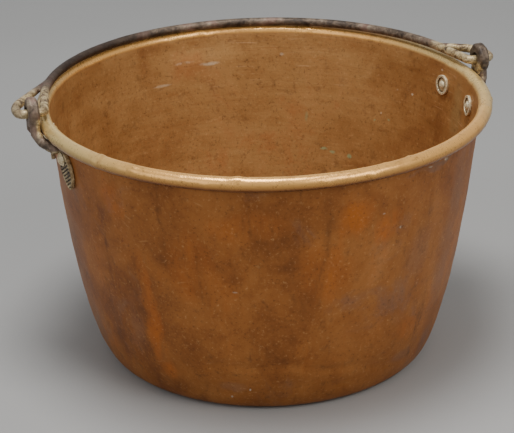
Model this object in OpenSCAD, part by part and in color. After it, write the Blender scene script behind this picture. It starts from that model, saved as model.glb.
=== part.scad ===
// Open copper cauldron with a rolled rim, two riveted iron ears and a falling iron bail.
// Millimetres. Z is up, the origin is the centre of the flat base, and the ears stand on the X axis.
// +X is the right ear, -X the left ear, -Y the front. The bail is drawn lying back on the rim.

/* [Body] */
// Diameter across the outside of the rolled rim
rim_d = 560; // [440:1:700]
// Height from the floor to the top of the rolled rim
kettle_h = 330; // [240:1:420]
// Diameter of the flat part of the base
base_d = 382; // [280:1:410]
// Thickness of the copper sheet
sheet_t = 1.6; // [1.0:0.1:2.4]
// Outside radius where the base turns up into the wall
heel_r = 20; // [12:1:40]
// Lean of the wall from the vertical just above the heel, in degrees
heel_lean = 29; // [15:1:35]
// Lean of the wall from the vertical just under the rim, in degrees
rim_lean = 5; // [0:1:12]
// How far up the wall the heel's lean carries
heel_sweep = 47; // [20:1:80]
// How far down the wall the rim's lean carries
rim_sweep = 139; // [60:1:170]

/* [Rim] */
// Outside diameter of the roll at the rim
roll_d = 17; // [13:0.5:22]
// How far the sheet is turned round the wire, in degrees
roll_turn = 305; // [240:1:310]
// Space between the wire and the sheet rolled round it
wire_gap = 0.15; // [0.1:0.05:0.5]

/* [Bail] */
// Diameter of the bail's iron rod
bail_rod_d = 11.5; // [9:0.5:13]
// Distance of the rod's centre line inside the roll's centre line
bail_inset = 3.5; // [0:0.5:5]
// Height of the bail's pivot above the top of the rim
pivot_rise = 10; // [9:0.5:16]
// Inside-to-centre bend radius of the rod where it turns through an ear
eye_bend_r = 8; // [7:0.5:9]
// Space between each strand of an eye and the ear that it passes
eye_side_gap = 3.2; // [2:0.2:5]
// Radius of the belly of the outer strand of an eye
eye_belly_r = 43; // [35:1:55]
// Heading at which the left eye's outer strand leaves its belly, in degrees
left_eye_heading = 125; // [118:1:128]
// Heading at which the right eye's outer strand leaves its belly, in degrees
right_eye_heading = 140; // [134:1:143]
// Space between the lowered bail and the rim
bail_rest_gap = 0.3; // [0.2:0.1:1]

/* [Ears] */
// Thickness of an ear through its hole
ear_t = 14; // [10:0.5:18]
// Outside diameter of an ear's round head
ear_head_d = 38; // [34:0.5:46]
// Diameter of the hole that the bail hangs in
ear_hole_d = 15; // [14:0.5:18]
// Diameter of an ear's forged legs
ear_leg_d = 13; // [10:0.5:14]
// Space between an ear and the rolled rim
ear_rim_gap = 1.2; // [0.6:0.1:3]
// Width of a leaf-shaped foot
foot_w = 32; // [26:1:38]
// Length of a leaf-shaped foot
foot_l = 54; // [44:1:64]
// Thickness of a foot
foot_t = 5.5; // [3:0.5:8]
// Angle of each foot from the vertical, in degrees
foot_splay = 16; // [15:1:40]
// Space between a bail's pin and the bottom of its hole
pin_seat_gap = 0.3; // [0.1:0.1:0.6]

/* [Rivets] */
// Distance between the two rivets of an ear
rivet_spacing = 83; // [74:1:96]
// Depth of the rivets below the top of the rim
rivet_drop = 35; // [33:1:44]
// Diameter of a rivet's shank
rivet_d = 8; // [6:0.5:10]
// Diameter of a rivet's outside head
rivet_head_d = 18; // [13:0.5:20]
// Height of a rivet's outside head
rivet_head_h = 5; // [3:0.5:7]
// Diameter of the peened end inside the kettle
peen_d = 12; // [10:0.5:14]
// Height of the peened end
peen_h = 3.5; // [2:0.5:5]
// Diameter of the copper burr under a peened end
burr_d = 26; // [20:1:32]
// Thickness of a burr under its peened end
burr_t = 1.8; // [1:0.1:3]
// Extra height of the raised ring round a burr
burr_ring_h = 1.6; // [0.5:0.1:2.5]
// Width of the raised ring round a burr
burr_ring_w = 3.5; // [2:0.5:4]
// Space left between riveted pieces
seat_gap = 0.15; // [0.1:0.05:0.3]
// Space between a rivet's shank and its holes, on the radius
shank_gap = 0.05; // [0.02:0.01:0.1]

/* [Hidden] */
$fn = 48;

LEFT = -1;
RIGHT = 1;
FRONT = -1;
REAR = 1;

copper = "#9c5f35";
pale_copper = "#b5814e";
iron = "#4a3b33";
worn_iron = "#8a7257";

heel_steps = 8;
wall_steps = 28;
roll_steps = 26;
layer_steps = 10;
through = 40;          // long enough to pass right through any wall, foot or ear
hull_fn = 28;
round_fn = 240;        // smoothness of everything turned about the kettle's own axis

// ---- Kettle outline: the middle of the sheet, as a path in the plane of radius and height ----

base_r = base_d / 2;
roll_r = roll_d / 2;
roll_c = [rim_d / 2 - roll_r, kettle_h - roll_r];
roll_mid_r = roll_r - sheet_t / 2;
heel_c = [base_r, heel_r];
heel_mid_r = heel_r - sheet_t / 2;

function outward(lean) = [cos(lean), -sin(lean)];
function upward(lean) = [sin(lean), cos(lean)];

wall_foot = heel_c + heel_mid_r * outward(heel_lean);
wall_top = roll_c - roll_mid_r * outward(rim_lean);
wall_foot_pull = wall_foot + heel_sweep * upward(heel_lean);
wall_top_pull = wall_top - rim_sweep * upward(rim_lean);

// The wall is one smooth curve from the heel to the rim: t runs from 0 to 1
function wall_point(t) =
    pow(1 - t, 3) * wall_foot + 3 * pow(1 - t, 2) * t * wall_foot_pull
    + 3 * (1 - t) * t * t * wall_top_pull + pow(t, 3) * wall_top;
function wall_run(t) =
    pow(1 - t, 2) * (wall_foot_pull - wall_foot)
    + 2 * (1 - t) * t * (wall_top_pull - wall_foot_pull)
    + t * t * (wall_top - wall_top_pull);
function wall_lean(t) = atan2(wall_run(t)[0], wall_run(t)[1]);

// The t at which the wall reaches a height, by halving
function wall_t(z, low = 0, high = 1, tries = 24) =
    let (mid = (low + high) / 2)
    tries == 0 ? mid
    : wall_point(mid)[1] < z ? wall_t(z, mid, high, tries - 1)
    : wall_t(z, low, mid, tries - 1);

// Each station of the path is [point, outward normal]
function heel_station(a) = [heel_c + heel_mid_r * [cos(a), sin(a)], [cos(a), sin(a)]];
function wall_station(t) = [wall_point(t), outward(wall_lean(t))];
function roll_station(a) = [roll_c + roll_mid_r * [cos(a), sin(a)], -[cos(a), sin(a)]];

sheet_path = concat(
    [[[0, sheet_t / 2], [0, -1]]],
    [for (i = [0:heel_steps - 1]) heel_station(-90 + (90 - heel_lean) * i / heel_steps)],
    [for (i = [0:wall_steps - 1]) wall_station(i / wall_steps)],
    [for (i = [0:roll_steps]) roll_station(180 - rim_lean - roll_turn * i / roll_steps)]
);

function beside(path, gap) = [for (s = path) s[0] + gap * s[1]];
function reversed(list) = [for (i = [len(list) - 1:-1:0]) list[i]];

// ---- Seats on the wall ----

rivet_z = kettle_h - rivet_drop;
rivet_wall_t = wall_t(rivet_z);
rivet_lean = wall_lean(rivet_wall_t);
rivet_wall_r = wall_point(rivet_wall_t)[0] + sheet_t / 2 * cos(rivet_lean);
rivet_turn = asin(rivet_spacing / 2 / rivet_wall_r);
rivet_hole_r = rivet_d / 2 + shank_gap;
foot_face = seat_gap + foot_t;
burr_face = sheet_t + seat_gap + burr_t;

// ---- Pivot, ears and bail ----

rod_r = bail_rod_d / 2;
bail_r = roll_c[0] - bail_inset;
pivot_z = kettle_h + pivot_rise;
ear_in = rim_d / 2 + ear_rim_gap;
ear_mid = ear_in + ear_t / 2;
ear_hole_z = pivot_z + ear_hole_d / 2 - rod_r - pin_seat_gap;
leg_r = ear_leg_d / 2;
pin_half = ear_t / 2 + eye_side_gap + rod_r - eye_bend_r;
clear_of_roll = roll_r + leg_r + ear_rim_gap;
// The lowered rod leans on the roll, so its centre is one reach away from the roll's centre
rod_reach = roll_r + rod_r + bail_rest_gap;
rod_rise = sqrt(rod_reach * rod_reach - bail_inset * bail_inset);
bail_drop = asin((pivot_z - roll_c[1] - rod_rise) / bail_r);

pin_in = [ear_mid - pin_half, 0];
pin_out = [ear_mid + pin_half, 0];
eye_in_c = pin_in + [0, eye_bend_r];
eye_out_c = pin_out + [0, eye_bend_r];
shank_turn = atan2(eye_in_c[1], eye_in_c[0]) + acos((bail_r + eye_bend_r) / norm(eye_in_c));
shank_start = bail_r * [cos(shank_turn), sin(shank_turn)];
shank_end = eye_in_c - eye_bend_r * [cos(shank_turn), sin(shank_turn)];
belly_heading = 80;
scarf_r = 3.4;
knuckle_swell = 0.1;
knuckle_l = 1.6;

function heading(a) = [cos(a), sin(a)];
function left_of(a) = [-sin(a), cos(a)];
belly_start = eye_out_c - eye_bend_r * left_of(belly_heading);
belly_c = belly_start + eye_belly_r * left_of(belly_heading);
function belly_end(a) = belly_c - eye_belly_r * left_of(a);
// Length of the straight run from a belly's end to the middle of the bail's rod
function scarf_run(a) =
    let (p = belly_end(a), along = p * heading(a), off = p * p - bail_r * bail_r)
    -along - sqrt(max(0, along * along - off));

// ---- Helpers ----

module sided(side) {
    if (side == RIGHT) children();
    else mirror([1, 0, 0]) children();
}

// Draws children at a rivet of the right ear: Z out of the wall, X down it
module at_rivet(end) {
    rotate([0, 0, end * rivet_turn])
        translate([rivet_wall_r, 0, rivet_z])
            rotate([0, 90 + rivet_lean, 0])
                children();
}

// A layer that follows the wall round the rivets, from one distance off the outer face to another
module wall_layer(near, far, reach) {
    stations = [
        for (i = [0:layer_steps])
            wall_station(wall_t(rivet_z - reach + 2 * reach * i / layer_steps))
    ];
    rotate_extrude($fn = round_fn)
        polygon(concat(
            beside(stations, sheet_t / 2 + near),
            reversed(beside(stations, sheet_t / 2 + far))
        ));
}

// A rod between two points of a horizontal plane
module flat_rod(from, to, r1, r2) {
    run = to - from;
    translate([from[0], from[1], 0])
        rotate([0, 90, atan2(run[1], run[0])])
            cylinder(h = norm(run), r1 = r1, r2 = r2);
}

// A rod bent round a centre in a horizontal plane
module flat_bend(centre, bend_r, from, turn) {
    translate([centre[0], centre[1], 0])
        rotate([0, 0, from])
            rotate_extrude(angle = turn, $fn = 96)
                translate([bend_r, 0])
                    circle(r = rod_r, $fn = 28);
}

// A slight collar where two lengths of rod meet end to end
module knuckle(at, direction) {
    translate([at[0], at[1], 0])
        rotate([0, 90, direction])
            cylinder(h = knuckle_l, r = rod_r + knuckle_swell, center = true);
}

module leaf() {
    arc_r = (foot_l * foot_l + foot_w * foot_w) / (4 * foot_w);
    intersection() {
        translate([0, arc_r - foot_w / 2]) circle(r = arc_r, $fn = 96);
        translate([0, foot_w / 2 - arc_r]) circle(r = arc_r, $fn = 96);
    }
}

module forged_leg(from, to) {
    hull() {
        translate(from) sphere(r = leg_r, $fn = hull_fn);
        translate(to) sphere(r = leg_r, $fn = hull_fn);
    }
}

// ---- Sub-parts ----

module kettle_body() {
    color(copper)
        difference() {
            rotate_extrude($fn = round_fn)
                polygon(concat(
                    [[0, 0]],
                    beside([for (i = [1:len(sheet_path) - 1]) sheet_path[i]], sheet_t / 2),
                    reversed(beside([for (i = [1:len(sheet_path) - 1]) sheet_path[i]], -sheet_t / 2)),
                    [[0, sheet_t]]
                ));
            for (side = [LEFT, RIGHT], end = [FRONT, REAR])
                sided(side) at_rivet(end)
                    cylinder(h = through, r = rivet_hole_r, center = true);
        }
}

module rim_wire() {
    color(iron)
        rotate_extrude($fn = round_fn)
            translate(roll_c)
                circle(r = roll_r - sheet_t - wire_gap);
}

module foot(end) {
    rivet_from_top = 15;
    intersection() {
        wall_layer(seat_gap, foot_face, foot_l);
        at_rivet(end)
            rotate([0, 0, end * foot_splay])
                translate([foot_l / 2 - rivet_from_top, 0, 0])
                    linear_extrude(through, center = true) leaf();
    }
}

module ear_leg(end) {
    neck = [ear_mid, end * 8, ear_hole_z - 11];
    knee = [roll_c[0] + clear_of_roll, end * 11, roll_c[1] - 3];
    ankle = [roll_c[0] + clear_of_roll * cos(50), end * 17, roll_c[1] - clear_of_roll * sin(50)];
    sole = [roll_c[0] - 2, end * (rivet_spacing / 2 - 5.5), roll_c[1] - clear_of_roll - 1];
    forged_leg(neck, knee);
    forged_leg(knee, ankle);
    forged_leg(ankle, sole);
}

module ear_head() {
    edge = 3;
    round_r = ear_head_d / 2;
    translate([ear_in, 0, ear_hole_z])
        rotate([0, 90, 0]) {
            cylinder(h = edge, r1 = round_r - edge, r2 = round_r);
            translate([0, 0, edge]) cylinder(h = ear_t - 2 * edge, r = round_r);
            translate([0, 0, ear_t - edge]) cylinder(h = edge, r1 = round_r, r2 = round_r - edge);
        }
}

module ear(side) {
    color(iron)
        sided(side)
            difference() {
                union() {
                    ear_head();
                    ear_leg(FRONT);
                    ear_leg(REAR);
                    foot(FRONT);
                    foot(REAR);
                }
                translate([ear_mid, 0, ear_hole_z])
                    rotate([0, 90, 0])
                        cylinder(h = through, d = ear_hole_d, center = true);
                for (end = [FRONT, REAR])
                    at_rivet(end) {
                        cylinder(h = through, r = rivet_hole_r, center = true);
                        translate([0, 0, foot_face])
                            cylinder(h = through, d = rivet_head_d + 2 * shank_gap);
                    }
            }
}

module eye(leave) {
    scarf_start = belly_end(leave);
    scarf_end = scarf_start + scarf_run(leave) * heading(leave);
    knuckle(shank_start, shank_turn - 90);
    knuckle(shank_end, shank_turn - 90);
    knuckle(pin_in, 0);
    knuckle(pin_out, 0);
    knuckle(belly_start, belly_heading);
    knuckle(scarf_start, leave);
    flat_rod(shank_start, shank_end, rod_r, rod_r);
    flat_bend(eye_in_c, eye_bend_r, 180 + shank_turn, 90 - shank_turn);
    flat_rod(pin_in, pin_out, rod_r, rod_r);
    flat_bend(eye_out_c, eye_bend_r, -90, belly_heading);
    flat_bend(belly_c, eye_belly_r, belly_heading - 90, leave - belly_heading);
    flat_rod(scarf_start, scarf_end, rod_r, scarf_r);
}

module bail_handle() {
    color(worn_iron)
        translate([0, 0, pivot_z])
            rotate([-bail_drop, 0, 0]) {
                flat_bend([0, 0], bail_r, shank_turn, 180 - 2 * shank_turn);
                eye(right_eye_heading);
                mirror([1, 0, 0]) eye(left_eye_heading);
            }
}

module rivet(side, end) {
    head_ball_r = (pow(rivet_head_d / 2, 2) + pow(rivet_head_h, 2)) / (2 * rivet_head_h);
    peen_ball_r = (pow(peen_d / 2, 2) + pow(peen_h, 2)) / (2 * peen_h);
    head_z = foot_face + seat_gap;
    peen_z = -(burr_face + seat_gap);
    color(pale_copper)
        sided(side) at_rivet(end) {
            translate([0, 0, peen_z]) cylinder(h = head_z - peen_z, d = rivet_d);
            intersection() {
                translate([0, 0, head_z + rivet_head_h - head_ball_r]) sphere(r = head_ball_r);
                translate([0, 0, head_z]) cylinder(h = rivet_head_h, d = rivet_head_d);
            }
            intersection() {
                translate([0, 0, peen_z - peen_h + peen_ball_r]) sphere(r = peen_ball_r);
                translate([0, 0, peen_z - peen_h]) cylinder(h = peen_h, d = peen_d);
            }
        }
}

module burr(side, end) {
    ring_in_d = burr_d - 2 * burr_ring_w;
    color(pale_copper)
        sided(side)
            difference() {
                intersection() {
                    wall_layer(-burr_face - burr_ring_h, -sheet_t - seat_gap, burr_d);
                    at_rivet(end) cylinder(h = through, d = burr_d, center = true);
                }
                at_rivet(end) {
                    translate([0, 0, -burr_face - through])
                        cylinder(h = through, d = ring_in_d);
                    cylinder(h = through, r = rivet_hole_r, center = true);
                }
            }
}

kettle_body();
rim_wire();
bail_handle();
ear(LEFT);  // left_ear
ear(RIGHT);  // right_ear
rivet(LEFT, FRONT);  // left_front_rivet
rivet(LEFT, REAR);  // left_rear_rivet
rivet(RIGHT, FRONT);  // right_front_rivet
rivet(RIGHT, REAR);  // right_rear_rivet
burr(LEFT, FRONT);  // left_front_burr
burr(LEFT, REAR);  // left_rear_burr
burr(RIGHT, FRONT);  // right_front_burr
burr(RIGHT, REAR);  // right_rear_burr
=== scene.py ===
"""Looks for the open copper kettle: beaten pan, forged ears, bail and rivets, floor, lights and camera.

Metres, in the kettle's own frame: Z is up from the middle of the base, the ears stand on X and the
front is -Y.
"""

from math import atan2, cos, degrees, hypot, pi, radians, sin

import bmesh
import bpy
from mathutils import Matrix, Vector, noise
from mathutils.geometry import interpolate_bezier


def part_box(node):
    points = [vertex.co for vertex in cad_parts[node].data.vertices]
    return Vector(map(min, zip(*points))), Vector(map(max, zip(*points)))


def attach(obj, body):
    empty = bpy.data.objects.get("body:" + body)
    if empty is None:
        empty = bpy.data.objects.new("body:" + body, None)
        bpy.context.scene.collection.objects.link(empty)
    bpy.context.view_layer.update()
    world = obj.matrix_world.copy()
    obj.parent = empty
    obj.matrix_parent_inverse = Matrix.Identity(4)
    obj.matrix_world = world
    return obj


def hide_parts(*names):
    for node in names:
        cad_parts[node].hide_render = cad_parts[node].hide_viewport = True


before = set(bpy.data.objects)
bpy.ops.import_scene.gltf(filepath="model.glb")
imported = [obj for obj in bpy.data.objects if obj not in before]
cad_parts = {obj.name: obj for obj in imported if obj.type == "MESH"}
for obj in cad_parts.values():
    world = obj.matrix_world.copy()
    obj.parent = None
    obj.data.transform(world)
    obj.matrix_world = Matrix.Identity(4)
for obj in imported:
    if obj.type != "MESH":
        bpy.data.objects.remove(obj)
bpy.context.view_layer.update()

# ---- Sizes, from the frame and the sheet's own outline ----

KETTLE_TOP_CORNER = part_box("kettle_body")[1]
RIM_R = KETTLE_TOP_CORNER.x
KETTLE_H = KETTLE_TOP_CORNER.z
BASE_R = 0.191  # of the flat under the pan
SHEET = 0.0016  # how thick the copper is
HEEL_R = 0.020  # of the bend between base and wall
HEEL_LEAN = radians(29)
RIM_LEAN = radians(5)
HEEL_SWEEP = 0.047  # how far the wall's curve is pulled along the lean of the heel,
RIM_SWEEP = 0.139   # and along the lean of the rim
ROLL_R = 0.0085
ROLL_TURN = radians(305)
ROLL_C = Vector((RIM_R - ROLL_R, 0, KETTLE_H - ROLL_R))

SIDES = ("left", "right")
ENDS = ("front", "rear")
FOOT_L = 0.054
FOOT_W = 0.032
FOOT_T = 0.0055
FOOT_SPLAY = radians(16)
RIVET_FROM_TOP = 0.015
RIB_PITCH = 0.0039
RIB_DEPTH = 0.0017
RIB_BORDER = 0.0026  # the plain edge left round the ribs
RIB_EASE = 0.0008    # how softly the ribs meet it
RIB_RUN = 0.96       # square to the ribs, down the foot
RIB_RISE = 0.27      # and across it
FOOT_UP = 0.016      # how far from its rivet a foot can reach, upwards,
FOOT_DOWN = 0.042    # downwards
FOOT_ASIDE = 0.020   # and to a side

CAMERA_ROUND = radians(-17.12)  # where the camera stands: how far round from the front,
CAMERA_ABOVE = radians(23.75)   # how far above level,
CAMERA_TILT = radians(-1.03)    # and how far it is rolled
CAMERA_AWAY = 2.362

UP = Vector((0, 0, 1))
EVERY_WAY = {"use_axis_x": True, "use_axis_y": True, "use_axis_z": True}


def ease(value, low, high):
    """0 at low, 1 at high, and smooth between; low may be the larger."""
    t = min(max((value - low) / (high - low), 0), 1)
    return t * t * (3 - 2 * t)


def lean_out(lean):
    """Square to a wall that leans out by that much, and outwards."""
    return Vector((cos(lean), 0, -sin(lean)))


def lean_up(lean):
    """Along a wall that leans out by that much, and upwards."""
    return Vector((sin(lean), 0, cos(lean)))


def sheet_line():
    """The middle of the sheet, from the middle of the base to the free edge under the roll."""
    base_steps, heel_steps, wall_steps, roll_steps = 9, 9, 66, 26
    heel_c = Vector((BASE_R, 0, HEEL_R))
    heel_mid = HEEL_R - SHEET / 2
    roll_mid = ROLL_R - SHEET / 2
    foot = heel_c + heel_mid * lean_out(HEEL_LEAN)
    top = ROLL_C - roll_mid * lean_out(RIM_LEAN)
    pulls = foot + HEEL_SWEEP * lean_up(HEEL_LEAN), top - RIM_SWEEP * lean_up(RIM_LEAN)
    line = [Vector((BASE_R * (i / base_steps) ** 0.8, 0, SHEET / 2)) for i in range(base_steps)]
    for i in range(heel_steps):
        line.append(heel_c + heel_mid * lean_out(pi / 2 - (pi / 2 - HEEL_LEAN) * i / heel_steps))
    line += interpolate_bezier(foot, *pulls, top, wall_steps)
    for i in range(1, roll_steps + 1):
        line.append(ROLL_C - roll_mid * lean_out(RIM_LEAN + ROLL_TURN * i / roll_steps))
    return line


SHEET_LINE = sheet_line()


def wall_reach(height):
    """How far the middle of the wall is from the kettle's axis at a height."""
    for low, high in zip(SHEET_LINE, SHEET_LINE[1:]):
        if low.z < height <= high.z:
            return low.x + (high.x - low.x) * (height - low.z) / (high.z - low.z)
    return SHEET_LINE[-1].x


# ---- Making and finishing a piece ----


def as_piece(name, bm, finish, body, nodes):
    """Turns a bmesh into an object that rides on a body and stands for CAD nodes."""
    mesh = bpy.data.meshes.new(name)
    for face in bm.faces:
        face.smooth = True
    bm.to_mesh(mesh)
    bm.free()
    piece = bpy.data.objects.new(name, mesh)
    bpy.context.scene.collection.objects.link(piece)
    mesh.materials.append(finish)
    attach(piece, body)
    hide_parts(*nodes)
    return piece


def forged_copy(node, grain, rubs):
    """A CAD node's shape as one skin, its joints run together and its edges rubbed down.

    grain is the size of the skin's facets, and rubs is how many times they are smoothed.
    """
    bm = bmesh.new()
    bm.from_mesh(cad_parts[node].data)
    bmesh.ops.remove_doubles(bm, verts=bm.verts, dist=1e-6)
    blank = bpy.data.meshes.new(node + "_blank")
    bm.to_mesh(blank)
    bm.free()
    holder = bpy.data.objects.new(node + "_blank", blank)
    bpy.context.scene.collection.objects.link(holder)
    skin = holder.modifiers.new("skin", "REMESH")
    skin.mode = "VOXEL"
    skin.voxel_size = grain
    shaped = holder.evaluated_get(bpy.context.evaluated_depsgraph_get())
    bm = bmesh.new()
    bm.from_mesh(shaped.to_mesh())
    shaped.to_mesh_clear()
    bpy.data.objects.remove(holder)
    bpy.data.meshes.remove(blank)
    for _ in range(rubs):
        bmesh.ops.smooth_vert(bm, verts=bm.verts, factor=0.5, **EVERY_WAY)
    bm.normal_update()
    return bm


def push(bm, amount):
    """Moves each vertex along its normal by amount(place, normal), and returns how far each one went."""
    bm.normal_update()
    moves = [amount(vert.co, vert.normal) for vert in bm.verts]
    for vert, move in zip(bm.verts, moves):
        vert.co += vert.normal * move
    bm.normal_update()
    return moves


def mark_proud(bm, reach):
    """Writes the attribute "proud": 0.5 where the skin is flat, 1 on its edges and 0 in its hollows.

    reach is how far a vertex on a full edge stands out from those next to it.
    """
    layer = bm.verts.layers.float.new("proud")
    for vert in bm.verts:
        ring = [edge.other_vert(vert).co for edge in vert.link_edges]
        middle = sum(ring, Vector()) / len(ring)
        vert[layer] = 0.5 + 0.5 * (vert.co - middle).dot(vert.normal) / reach
    for _ in range(3):
        soft = []
        for vert in bm.verts:
            near = [edge.other_vert(vert)[layer] for edge in vert.link_edges]
            soft.append(sum(near) / len(near))
        for vert, value in zip(bm.verts, soft):
            vert[layer] = value
    return layer


# ---- Finishes ----


class Value:
    """One socket of a finish. Arithmetic on values adds the Math nodes that work it out."""

    def __init__(self, finish, socket):
        self.finish = finish
        self.socket = socket

    def maths(self, operation, *terms):
        return self.finish.maths(operation, *terms)

    def __add__(self, other):
        return self.maths("ADD", self, other)

    def __sub__(self, other):
        return self.maths("SUBTRACT", self, other)

    def __rsub__(self, other):
        return self.maths("SUBTRACT", other, self)

    def __mul__(self, other):
        return self.maths("MULTIPLY", self, other)

    __radd__ = __add__
    __rmul__ = __mul__

    def capped(self):
        return self.maths("MINIMUM", self, 1)

    def between(self, low, high):
        """0 at low, 1 at high, and smooth between; low may be the larger."""
        return self.finish.node(
            "ShaderNodeMapRange", {"interpolation_type": "SMOOTHSTEP"},
            {"Value": self, "From Min": low, "From Max": high},
        )


class Finish:
    """A material being made."""

    def __init__(self, name):
        self.material = bpy.data.materials.new(name)
        self.material.use_nodes = True
        self.tree = self.material.node_tree
        self.tree.nodes.clear()
        self.place = self.node("ShaderNodeTexCoord", out="Object")
        along = self.node("ShaderNodeSeparateXYZ", inputs={0: self.place})
        self.x, self.y, self.z = (Value(self, along.socket.node.outputs[i]) for i in range(3))

    def node(self, kind, settings=None, inputs=None, out=0):
        """Adds a node: its settings first, then the values or links of its sockets."""
        made = self.tree.nodes.new(kind)
        for name, setting in (settings or {}).items():
            if name == "stops":
                for _ in range(len(setting) - 2):
                    made.color_ramp.elements.new(0.5)
                for stop, (position, shade) in zip(made.color_ramp.elements, setting):
                    stop.position = position
                    stop.color = (*shade, 1)
            else:
                setattr(made, name, setting)
        for name, value in (inputs or {}).items():
            if isinstance(value, Value):
                self.tree.links.new(value.socket, made.inputs[name])
            else:
                made.inputs[name].default_value = value
        return Value(self, made.outputs[out]) if made.outputs else None

    def maths(self, operation, *terms):
        return self.node("ShaderNodeMath", {"operation": operation}, dict(enumerate(terms)))

    def marks(self, sites, arc, waver, arc_middle):
        """1 in the middle of each mark: degrees round, height, half width, half height and strength."""
        total = 0
        for round_at, height, wide, tall, strength in sites:
            across = (arc + waver - radians(round_at + arc_middle) * RIM_R) * (1 / wide)
            upright = (self.z + waver - height) * (1 / tall)
            far = across * across + upright * upright
            total = self.maths("MAXIMUM", far.between(1, 0) * strength, total)
        return total

    def stretched(self, stretch=(1, 1, 1), turn=(0, 0, 0), shift=(0, 0, 0)):
        """The place on the piece, turned, then stretched and shifted."""
        turned = self.node("ShaderNodeMapping", inputs={"Vector": self.place, "Rotation": turn})
        inputs = {"Vector": turned, "Scale": stretch, "Location": shift}
        return self.node("ShaderNodeMapping", inputs=inputs)

    def cloud(self, scale, detail=3, rough=0.55, warp=0, where=None):
        """Soft noise, mostly from 0.3 to 0.7."""
        inputs = {"Vector": where or self.place, "Scale": scale, "Detail": detail, "Roughness": rough}
        return self.node("ShaderNodeTexNoise", inputs={**inputs, "Distortion": warp})

    def cells(self, scale, where, feature="F1"):
        """How far it is to the middle of the nearest of many scattered cells."""
        inputs = {"Vector": where, "Scale": scale}
        return self.node("ShaderNodeTexVoronoi", {"feature": feature}, inputs, "Distance")

    def blend(self, under, over, share):
        """One colour over another, by its share."""
        inputs = {0: share, 6: colour(under), 7: colour(over)}
        return self.node("ShaderNodeMix", {"data_type": "RGBA"}, inputs, 2)

    def ramp(self, value, stops):
        return self.node("ShaderNodeValToRGB", {"stops": stops}, {"Fac": value})

    def attribute(self, name):
        return self.node("ShaderNodeAttribute", {"attribute_name": name}, out="Fac")

    def relief(self, height, depth, strength, under=None):
        """The normal of a raised pattern, over another normal if there is one."""
        inputs = {"Height": height, "Distance": depth, "Strength": strength}
        if under:
            inputs["Normal"] = under
        return self.node("ShaderNodeBump", inputs=inputs)

    def done(self, base, rough, metal, normal):
        """Ends the finish and gives its material."""
        inputs = {"Base Color": base, "Roughness": rough, "Metallic": metal, "Normal": normal}
        shader = self.node("ShaderNodeBsdfPrincipled", inputs=inputs)
        self.node("ShaderNodeOutputMaterial", inputs={"Surface": shader})
        return self.material


def colour(value):
    """A plain colour with its alpha; a value from nodes stays as it is."""
    return (*value, 1) if isinstance(value, tuple) and len(value) == 3 else value


def tone(red, green, blue):
    """A linear colour from the 0 to 255 values that a screen shows."""
    return tuple(((value / 255 + 0.055) / 1.055) ** 2.4 for value in (red, green, blue))


# Marks on the copper: degrees round, height, half width, half height and strength. The degrees are
# counted from the right ear, positive to the back and negative to the front.

OUTSIDE_ORANGE = (
    (-143, 0.161, 0.014, 0.070, 0.6),
    (-142, 0.105, 0.016, 0.060, 0.7),
    (-139, 0.050, 0.020, 0.018, 0.6),
    (-84, 0.266, 0.030, 0.026, 0.7),
    (-74, 0.245, 0.026, 0.022, 0.6),
    (-128, 0.205, 0.040, 0.060, 0.35),
    (-112, 0.262, 0.060, 0.024, 0.35),
    (-60, 0.085, 0.040, 0.020, 0.4),
    (-92, 0.200, 0.050, 0.060, 0.4),
    (-150, 0.270, 0.030, 0.030, 0.5),
)
# The mauve marks below are oxide, except the broad ones at -175 to -178 and at -44 and -46, which paint
# the grey sheen seen along the kettle's left and right edges.
OUTSIDE_MAUVE_AND_EDGE_SHEEN = (
    (-175, 0.225, 0.045, 0.080, 0.9),
    (-178, 0.145, 0.045, 0.090, 1.0),
    (-176, 0.070, 0.045, 0.060, 0.8),
    (-148, 0.110, 0.018, 0.055, 0.4),
    (-67, 0.134, 0.024, 0.045, 0.4),
    (-61, 0.194, 0.030, 0.045, 0.4),
    (-44, 0.250, 0.030, 0.070, 0.6),
    (-46, 0.160, 0.030, 0.080, 0.6),
    (-60, 0.045, 0.030, 0.012, 0.6),
    (-118, 0.040, 0.030, 0.008, 0.5),
    (-62, 0.300, 0.045, 0.006, 0.9),
    (-56, 0.306, 0.040, 0.005, 0.9),
)
OUTSIDE_PALE = (
    (-54, 0.303, 0.007, 0.0025, 0.8),
    (-61, 0.302, 0.006, 0.0015, 0.5),
    (-113, 0.035, 0.002, 0.002, 1.0),
    (-119, 0.022, 0.002, 0.002, 1.0),
    (-116, 0.176, 0.005, 0.0015, 0.4),
    (-70, 0.238, 0.0025, 0.0025, 0.6),
    (-76, 0.262, 0.003, 0.0015, 0.5),
)
INSIDE_PALE = (
    (97, 0.289, 0.018, 0.0025, 0.4),
    (89, 0.284, 0.020, 0.003, 0.5),
    (105, 0.264, 0.018, 0.002, 0.4),
    (10.5, 0.313, 0.003, 0.0015, 0.9),
    (23, 0.264, 0.003, 0.0018, 0.9),
    (28.6, 0.263, 0.003, 0.0015, 0.8),
    (34, 0.227, 0.0018, 0.0018, 0.6),
    (12.3, 0.241, 0.0025, 0.0018, 0.6),
    (67, 0.292, 0.004, 0.003, 0.4),
)
INSIDE_GREEN = (
    (53, 0.164, 0.008, 0.003, 0.8),
    (50, 0.161, 0.006, 0.003, 0.7),
    (44, 0.158, 0.005, 0.004, 0.9),
    (36, 0.215, 0.003, 0.002, 0.6),
    (31, 0.220, 0.003, 0.002, 0.6),
    (59, 0.207, 0.003, 0.009, 0.35),
    (0, 0.270, 0.022, 0.050, 0.16),
    (174, 0.300, 0.022, 0.024, 0.25),
)


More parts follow.
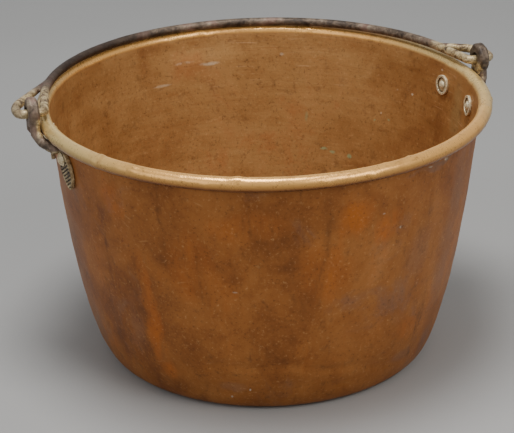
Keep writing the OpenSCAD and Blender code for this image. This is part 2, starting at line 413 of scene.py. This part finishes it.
def kettle_copper():
    """Old copper: brown and orange blooms, mauve oxide with painted grey sheen at the side edges,
    scratches, verdigris, a painted shadow under the roll and a rubbed golden rim with a painted shaded
    underside.
    """
    f = Finish("kettle_copper")
    inner = f.attribute("inner")
    front_arc = f.maths("ARCTAN2", f.x, f.y * -1) * RIM_R
    back_arc = f.maths("ARCTAN2", f.x * -1, f.y) * RIM_R
    broad = f.cloud(5, 4, 0.6, 0.6)
    mid = f.cloud(17, 5, 0.62, 0.5, f.stretched((1, 1, 0.8), shift=(3, 1, 2)))
    small = f.cloud(60, 5, 0.7, 0.2, f.stretched(shift=(1, 8, 3)))
    fine = f.cloud(260, 3, 0.7)
    drips = f.cloud(34, 4, 0.65, 0.3, f.stretched((1, 1, 0.16), shift=(0.4, 0, 0.7)))
    hoops = f.cloud(30, 5, 0.7, 0.2, f.stretched((0.30, 0.30, 4.0), shift=(7, 2, 5)))
    brushing = f.cloud(70, 4, 0.75, 0.1, f.stretched((0.20, 0.20, 6.0), shift=(2, 2, 5)))
    rising = f.cloud(170, 2, 0.6, 0.1, f.stretched((1, 1, 0.07), (0.9, 0.8, 0), (4, 1, 2)))
    falling = f.cloud(170, 2, 0.6, 0.1, f.stretched((1, 1, 0.07), (-1.2, -0.7, 0), (1, 6, 3)))
    pits = f.cells(95, f.stretched(shift=(0.1, 0.2, 0.3)))
    ragged = (mid - 0.5) * 0.040
    nibbled = (small - 0.5) * 0.008

    outside = f.ramp(broad * 0.4 + mid * 0.4 + small * 0.2, [
        (0.36, tone(116, 66, 30)),
        (0.44, tone(146, 87, 39)),
        (0.51, tone(163, 101, 47)),
        (0.58, tone(174, 112, 56)),
        (0.68, tone(186, 126, 72)),
    ])
    orange = drips.between(0.50, 0.70) * mid.between(0.40, 0.62) * 0.30
    orange = orange + f.marks(OUTSIDE_ORANGE, front_arc, ragged, 90) * drips.between(0.28, 0.58)
    outside = f.blend(outside, tone(190, 106, 36), orange.capped())
    # Mauve oxide, with painted grey sheen on the side edges from the broad marks.
    mauve_and_edge_sheen = f.cloud(8, 5, 0.68, 0.8, f.stretched(shift=(9, 4, 1))).between(0.54, 0.70) * 0.5
    mauve_and_edge_sheen = mauve_and_edge_sheen + f.marks(OUTSIDE_MAUVE_AND_EDGE_SHEEN, front_arc, ragged, 90) * mid.between(0.30, 0.60) * 0.8
    outside = f.blend(outside, tone(140, 106, 84), mauve_and_edge_sheen.capped())
    dark_drips = drips.between(0.46, 0.30) * small.between(0.35, 0.6)
    outside = f.blend(outside, tone(96, 54, 26), dark_drips * 0.5)
    outside = f.blend(outside, tone(206, 192, 168), f.marks(OUTSIDE_PALE, front_arc, nibbled, 90))

    inside = f.ramp(broad * 0.4 + hoops * 0.2 + mid * 0.4, [
        (0.36, tone(146, 95, 50)),
        (0.46, tone(167, 118, 65)),
        (0.54, tone(179, 132, 77)),
        (0.66, tone(191, 148, 93)),
    ])
    inside = f.blend(inside, tone(172, 104, 50), broad.between(0.54, 0.66) * mid.between(0.46, 0.62) * 0.6)
    back_left = back_arc.between(0.14, -0.06) * back_arc.between(-0.62, -0.40)
    scratched = f.z.between(0.225, 0.262) * back_left
    strokes = brushing.between(0.58, 0.68) * small.between(0.40, 0.60)
    inside = f.blend(inside, tone(226, 180, 130), strokes * (0.10 + scratched * 0.5))
    inside = f.blend(inside, tone(138, 84, 42), brushing.between(0.42, 0.34) * (0.15 + scratched * 0.15))
    scorched = f.z.between(0.034, 0.003) * broad.between(0.25, 0.60)
    inside = f.blend(inside, tone(112, 72, 42), scorched * 0.6)
    spots = f.marks(INSIDE_PALE, back_arc, nibbled, -90) * small.between(0.36, 0.56)
    inside = f.blend(inside, tone(232, 214, 184), spots)
    verdigris = f.marks(INSIDE_GREEN, back_arc, nibbled, -90) * mid.between(0.26, 0.50)
    inside = f.blend(inside, tone(160, 172, 124), verdigris)

    body = f.blend(outside, inside, inner)
    scratches = rising.between(0.69, 0.75) + falling.between(0.69, 0.75)
    body = f.blend(body, tone(214, 164, 108), scratches.capped() * mid.between(0.40, 0.56) * 0.28)
    body = f.blend(body, tone(224, 178, 122), fine.between(0.56, 0.76) * 0.36)
    body = f.blend(body, tone(70, 40, 22), fine.between(0.45, 0.26) * 0.50)
    body = f.blend(body, tone(94, 54, 27), small.between(0.54, 0.72) * 0.40)
    body = f.blend(body, tone(66, 40, 26), pits.between(0.10, 0.02) * small.between(0.50, 0.62) * 0.9)

    # Painted shadow: a dark band on the outside just under the roll, where the roll's shade falls.
    roll_shadow = f.z.between(0.3060, 0.3125) * (1 - inner)
    body = f.blend(body, tone(46, 28, 18), roll_shadow * small.between(0.20, 0.5) * 0.85)
    rim = f.z.between(0.3128 + inner * 0.0072, 0.3150 + inner * 0.0090)
    top = f.z.between(0.3152, 0.3255)
    to_ears = (f.x * f.x).between(0.035, 0.075)
    # The roll's top is rubbed golden; the darker colour of its underside is painted shade.
    shaded_underside = f.blend(tone(132, 78, 33), tone(146, 100, 52), to_ears)
    golden = f.blend(tone(240, 180, 100), tone(228, 196, 130), to_ears)
    golden = f.blend(shaded_underside, golden, top)
    golden = f.blend(golden, tone(166, 112, 58), mid.between(0.54, 0.70) * 0.5)
    golden = f.blend(golden, tone(112, 68, 34), small.between(0.58, 0.74) * 0.5)
    golden = f.blend(golden, tone(92, 58, 32), fine.between(0.44, 0.28) * 0.4)
    body = f.blend(body, golden, rim)

    beaten = f.cells(40, f.stretched((1, 1, 0.9)), "SMOOTH_F1")
    normal = f.relief(beaten, 0.0008, 0.35)
    normal = f.relief(mid, 0.0016, 0.45, normal)
    normal = f.relief(brushing, 0.0003, 0.30, normal)
    normal = f.relief(fine * 0.6 + small * 0.4, 0.0006, 0.6, normal)
    rough = 0.40 + mid * 0.14 + fine * 0.12 - rim * 0.24
    return f.done(body, rough, 0.62 - inner * 0.16, normal)


def rivet_copper():
    """Pale rubbed copper, darkened in its hollows with dirt and painted shade."""
    f = Finish("rivet_copper")
    proud = f.attribute("proud")
    fine = f.cloud(300, 4, 0.7)
    # Low proud values darken the hollows: partly dirt, partly painted shade.
    body = f.ramp(proud + (fine - 0.5) * 0.5, [
        (0.28, tone(74, 54, 32)),
        (0.45, tone(176, 150, 106)),
        (0.62, tone(230, 214, 176)),
        (0.80, tone(244, 234, 206)),
    ])
    normal = f.relief(fine, 0.0005, 0.5)
    return f.done(body, 0.38 + fine * 0.2, 0.40, normal)


def forged_iron(name, rubbed_and_lit, darker_where):
    """Dark brown forged iron, rubbed to tan on its edges and where metal works on metal, and made tan as
    painted light on the lit sides that its mask gives.
    """
    f = Finish(name)
    scale = f.cloud(90, 5, 0.7, 0.5)
    patches = f.cloud(30, 3, 0.6, 0.4, f.stretched(shift=(2, 5, 1)))
    fine = f.cloud(420, 4, 0.7)
    proud = f.attribute("proud")
    body = f.ramp(scale * 0.6 + patches * 0.4, [
        (0.37, tone(44, 33, 25)),
        (0.46, tone(82, 67, 53)),
        (0.54, tone(114, 97, 80)),
        (0.66, tone(160, 144, 122)),
    ])
    body = f.blend(body, tone(112, 78, 68), patches.between(0.52, 0.64) * 0.5)
    # Darker where the given mask asks: on the bail, the left half of its bow.
    body = f.blend(body, tone(44, 29, 19), darker_where(f))
    rubbed_and_lit_tan = f.ramp(fine * 0.4 + scale * 0.6, [
        (0.37, tone(94, 72, 46)),
        (0.48, tone(154, 130, 90)),
        (0.60, tone(212, 192, 148)),
    ])
    # The tan is rubbed wear on edges, feet and eyes, and painted light on the rim side of the ears' legs.
    bare_and_lit = proud.between(0.58, 0.90) * 0.6 + rubbed_and_lit(f) * scale.between(0.34, 0.52)
    body = f.blend(body, rubbed_and_lit_tan, bare_and_lit.capped())
    # Darkens the hollows and the ears' rib grooves: partly dirt, partly painted shade.
    body = f.blend(body, tone(36, 25, 19), proud.between(0.40, 0.12) * 0.85)
    normal = f.relief(scale, 0.0012, 0.6)
    normal = f.relief(fine, 0.0004, 0.5, normal)
    return f.done(body, 0.52 - bare_and_lit.capped() * 0.10, 0.35, normal)


# ---- The kettle's pan ----


def soft_dent(place, round_at, height, wide, tall):
    """1 in the middle of a dent, falling smoothly to 0 at its edge; round_at is in degrees."""
    turn = (degrees(atan2(place.y, place.x)) - round_at + 180) % 360 - 180
    across = radians(turn) * hypot(place.x, place.y) / wide
    return 1 - ease(hypot(across, (place.z - height) / tall), 0, 1)


def heel_crease(place):
    """A wavering line above the heel, where the sheet has been knocked in from below."""
    turn = degrees(atan2(place.y, place.x))
    height = 0.050 + 0.021 * cos(radians(turn + 112) * 2.6) + 0.003 * sin(radians(turn) * 17)
    along = ease(turn, -138, -120) * ease(turn, -58, -74)
    return along * (1 - ease(abs(place.z - height), 0.001, 0.008))


DENTS = (
    (-100, 0.040, 0.030, 0.014, 0.0010),
    (-84, 0.030, 0.022, 0.012, 0.0012),
    (-118, 0.046, 0.024, 0.014, 0.0008),
    (-70, 0.052, 0.022, 0.016, 0.0009),
    (-132, 0.060, 0.026, 0.020, 0.0007),
    (-92, 0.150, 0.060, 0.050, 0.0008),
    (-66, 0.230, 0.034, 0.030, 0.0008),
    (-128, 0.235, 0.050, 0.040, 0.0006),
    (67, 0.290, 0.010, 0.008, -0.0012),
    (30, 0.120, 0.060, 0.050, 0.0009),
    (75, 0.060, 0.030, 0.020, 0.0011),
    (110, 0.180, 0.060, 0.050, 0.0008),
    (150, 0.090, 0.040, 0.030, 0.0009),
    (-20, 0.110, 0.050, 0.040, 0.0008),
    (-35, 0.045, 0.024, 0.014, 0.0010),
)


def beaten_out(place, normal):
    """How far hand work and hard use have pushed the sheet out of true."""
    angle = atan2(place.y, place.x)
    wall = ease(place.z, 0.006, 0.036) * ease(place.z, 0.308, 0.285)
    under_the_ears = ease(abs(place.y), 0.092, 0.066) * ease(place.z, 0.225, 0.245)
    wall *= 1 - under_the_ears
    swell = 0.0010 * cos(2 * angle + 0.6) + 0.0006 * cos(3 * angle - 1.1)
    soft = 0.0012 * noise.noise(place * 9) + 0.0006 * noise.noise(place * 24)
    soft += 0.0003 * noise.noise(place * 55)
    knocks = sum(depth * soft_dent(place, *dent) for *dent, depth in DENTS)
    nicks = 0.0010 * ease(noise.noise(place * 70), 0.30, 0.55)
    rolled = (0.00030 * noise.noise(place * 30) - nicks) * ease(place.z, 0.313, 0.318)
    return wall * (swell + soft - knocks - 0.0009 * heel_crease(place)) + rolled


def make_pan(finish):
    """Spins the sheet's line, beats it out of true and gives it its thickness, inwards."""
    bm = bmesh.new()
    verts = [bm.verts.new(point) for point in SHEET_LINE]
    edges = [bm.edges.new(pair) for pair in zip(verts, verts[1:])]
    whole_turn = {"cent": (0, 0, 0), "axis": UP, "angle": 2 * pi, "steps": 384, "use_merge": True}
    bmesh.ops.spin(bm, geom=verts + edges, **whole_turn)
    bmesh.ops.remove_doubles(bm, verts=bm.verts, dist=1e-6)
    bmesh.ops.recalc_face_normals(bm, faces=bm.faces)
    bm.normal_update()
    flattest = max(bm.faces, key=lambda face: face.normal.z ** 2)
    if flattest.normal.z > 0 and flattest.calc_center_median().z < HEEL_R:
        bmesh.ops.reverse_faces(bm, faces=bm.faces)
    push(bm, beaten_out)
    push(bm, lambda place, normal: SHEET / 2)
    bmesh.ops.solidify(bm, geom=bm.faces, thickness=SHEET)
    bm.normal_update()
    layer = bm.verts.layers.float.new("inner")
    for vert in bm.verts:
        outward = Vector((vert.co.x, vert.co.y, 0)) / BASE_R - UP * ease(vert.co.z, HEEL_R, 0)
        vert[layer] = 1 if vert.normal.dot(outward) < 0 else 0
    return as_piece("copper_pan", bm, finish, "kettle", ["kettle_body"])


# ---- Bail, ears, rivets and burrs ----


def hammered(depth, size):
    """A push that leaves the flats and hollows of a hammer, mostly inwards."""
    def amount(place, normal):
        blow = noise.noise(place / size) * 0.6 + noise.noise(place * 2.3 / size) * 0.4
        return depth * (blow - 0.5)
    return amount


def rivet_axes(side, end):
    """The middle of a rivet, the wall's outward direction there, and down and across its leg's foot."""
    low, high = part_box(f"{side}_{end}_rivet")
    middle = (low + high) / 2
    lean = atan2(wall_reach(middle.z + 0.01) - wall_reach(middle.z - 0.01), 0.02)
    turn = Matrix.Rotation(atan2(middle.y, middle.x), 3, "Z")
    out = turn @ lean_out(lean)
    splay = FOOT_SPLAY if (side == "left") == (end == "front") else -FOOT_SPLAY
    down = Matrix.Rotation(splay, 3, out) @ turn @ -lean_up(lean)
    return middle, out, down, out.cross(down)


def ribbed_leaf(side, end):
    """A push that cuts slanting ribs inside the raised border of a foot."""
    middle, out, down, across = rivet_axes(side, end)
    arc_r = (FOOT_L ** 2 + FOOT_W ** 2) / (4 * FOOT_W)
    leaf_middle = FOOT_L / 2 - RIVET_FROM_TOP
    rise = RIB_RISE if (side == "left") == (end == "front") else -RIB_RISE

    def amount(place, normal):
        from_rivet = place - middle
        along, aside = from_rivet.dot(down), from_rivet.dot(across)
        off_wall = (hypot(place.x, place.y) - wall_reach(place.z)) - SHEET / 2
        on_foot = -FOOT_UP < along < FOOT_DOWN and abs(aside) < FOOT_ASIDE
        if not (on_foot and off_wall < FOOT_T + 0.0015):
            return 0
        half = (arc_r ** 2 - min(abs(along - leaf_middle), arc_r) ** 2) ** 0.5 - (arc_r - FOOT_W / 2)
        panel = ease(half - abs(aside), RIB_BORDER - RIB_EASE, RIB_BORDER + RIB_EASE)
        clear = ease(from_rivet.cross(out).length, 0.0075, 0.0090) * ease(along, -0.002, 0.004)
        wave = cos(2 * pi * (along * RIB_RUN + aside * rise) / RIB_PITCH)
        groove = (0.5 - 0.5 * wave) ** 1.5
        return -RIB_DEPTH * groove * panel * clear * ease(normal.dot(out), 0.5, 0.8)
    return amount


def make_bail(finish):
    bm = forged_copy("bail_handle", grain=0.0009, rubs=10)
    push(bm, hammered(depth=0.00025, size=0.030))
    mark_proud(bm, reach=0.00055)
    return as_piece("bail", bm, finish, "bail", ["bail_handle"])


def make_ear(side, finish):
    node = side + "_ear"
    bm = forged_copy(node, grain=0.00052, rubs=9)
    push(bm, hammered(depth=0.0007, size=0.010))
    cuts = [push(bm, ribbed_leaf(side, end)) for end in ENDS]
    proud = mark_proud(bm, reach=0.00010)
    for vert, *moves in zip(bm.verts, *cuts):
        vert[proud] += 280 * sum(moves)  # which darkens the grooves
    return as_piece(node + "_forging", bm, finish, "kettle", [node])


def make_small(node, finish):
    bm = forged_copy(node, grain=0.0004, rubs=3)
    push(bm, hammered(depth=0.0003, size=0.006))
    mark_proud(bm, reach=0.00005)
    return as_piece(node + "_piece", bm, finish, "kettle", [node])


# ---- Camera, floor and light ----


def make_camera():
    """Looks down at the kettle from the front, a little to the left of square to its ears."""
    aim = Vector((-0.0103, 0.0032, 0.1640))
    level = Vector((sin(CAMERA_ROUND), -cos(CAMERA_ROUND), 0)) * cos(CAMERA_ABOVE)
    away = CAMERA_AWAY * (level + UP * sin(CAMERA_ABOVE))
    camera = bpy.data.objects.new("camera", bpy.data.cameras.new("camera"))
    bpy.context.scene.collection.objects.link(camera)
    camera.data.lens = 130.6
    camera.data.sensor_width = 36
    look = (-away).to_track_quat("-Z", "Y").to_matrix().to_4x4()
    camera.matrix_world = Matrix.Translation(aim + away) @ look @ Matrix.Rotation(CAMERA_TILT, 4, "Z")
    bpy.context.scene.camera = camera


def make_floor():
    f = Finish("studio_floor")
    base = f.ramp(f.cloud(0.8, 2), [(0.3, (0.32, 0.315, 0.305)), (0.7, (0.36, 0.355, 0.345))])
    material = f.done(base, 0.7, 0.0, f.relief(f.cloud(30), 0.0002, 0.2))
    bm = bmesh.new()
    bmesh.ops.create_grid(bm, x_segments=1, y_segments=1, size=30)
    mesh = bpy.data.meshes.new("floor")
    bm.to_mesh(mesh)
    bm.free()
    mesh.materials.append(material)
    floor = bpy.data.objects.new("floor", mesh)
    bpy.context.scene.collection.objects.link(floor)


def make_light(name, place, size, watts, tint=(1, 1, 1)):
    lamp = bpy.data.lights.new(name, "AREA")
    lamp.shape = "DISK"
    lamp.size = size
    lamp.energy = watts
    lamp.color = tint
    light = bpy.data.objects.new(name, lamp)
    bpy.context.scene.collection.objects.link(light)
    light.location = place
    light.rotation_mode = "QUATERNION"
    light.rotation_quaternion = (Vector((0, 0, 0.2)) - Vector(place)).to_track_quat("-Z", "Y")


def make_world(strength):
    world = bpy.data.worlds.new("studio")
    world.use_nodes = True
    world.node_tree.nodes["Background"].inputs["Color"].default_value = (0.80, 0.82, 0.84, 1)
    world.node_tree.nodes["Background"].inputs["Strength"].default_value = strength
    bpy.context.scene.world = world


# ---- The whole ----


def at_the_eyes(f):
    """1 on the bail's eyes, where metal works on metal, and less on their outer bends."""
    return f.y.between(0.085, 0.055) * (1 - (f.x * f.x).between(0.294 ** 2, 0.306 ** 2) * 0.5)


def feet_and_lit_legs(f):
    """1 on the ears' feet, rubbed bare, and on the sides of their legs that face the rim, painted tan as
    their lit side.
    """
    feet = f.z.between(0.306, 0.302)
    # Painted light: the rim side of each leg, made tan as if lit.
    lit_side_by_rim = f.z.between(0.314, 0.319) * f.z.between(0.341, 0.335)
    return feet * 0.9 + (f.x * f.x).between(0.2885 ** 2, 0.2850 ** 2) * lit_side_by_rim


def along_the_left(f):
    """1 on the left half of the bail's bow, which is blacker."""
    return f.x.between(-0.02, -0.15) * f.y.between(0.07, 0.12) * 0.8


def nowhere(f):
    """0 all over: the ears are nowhere darker."""
    return 0


make_camera()
make_floor()
make_light("overhead", (-0.2, -0.2, 2.7), size=1.1, watts=60)
make_light("key", (1.2, -2.2, 2.2), size=1.6, watts=34, tint=(1.0, 0.98, 0.95))
make_light("fill", (-2.2, -1.2, 1.6), size=2.0, watts=13, tint=(0.93, 0.96, 1.0))
make_world(strength=0.56)

copper = kettle_copper()
small_copper = rivet_copper()
ear_iron = forged_iron("ear_iron", feet_and_lit_legs, nowhere)
bail_iron = forged_iron("bail_iron", at_the_eyes, along_the_left)

make_pan(copper)
make_bail(bail_iron)
for side in SIDES:
    make_ear(side, ear_iron)
    for end in ENDS:
        make_small(f"{side}_{end}_rivet", small_copper)
        make_small(f"{side}_{end}_burr", small_copper)
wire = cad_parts["rim_wire"].data.materials
wire.clear()
wire.append(ear_iron)

bpy.context.view_layer.update()
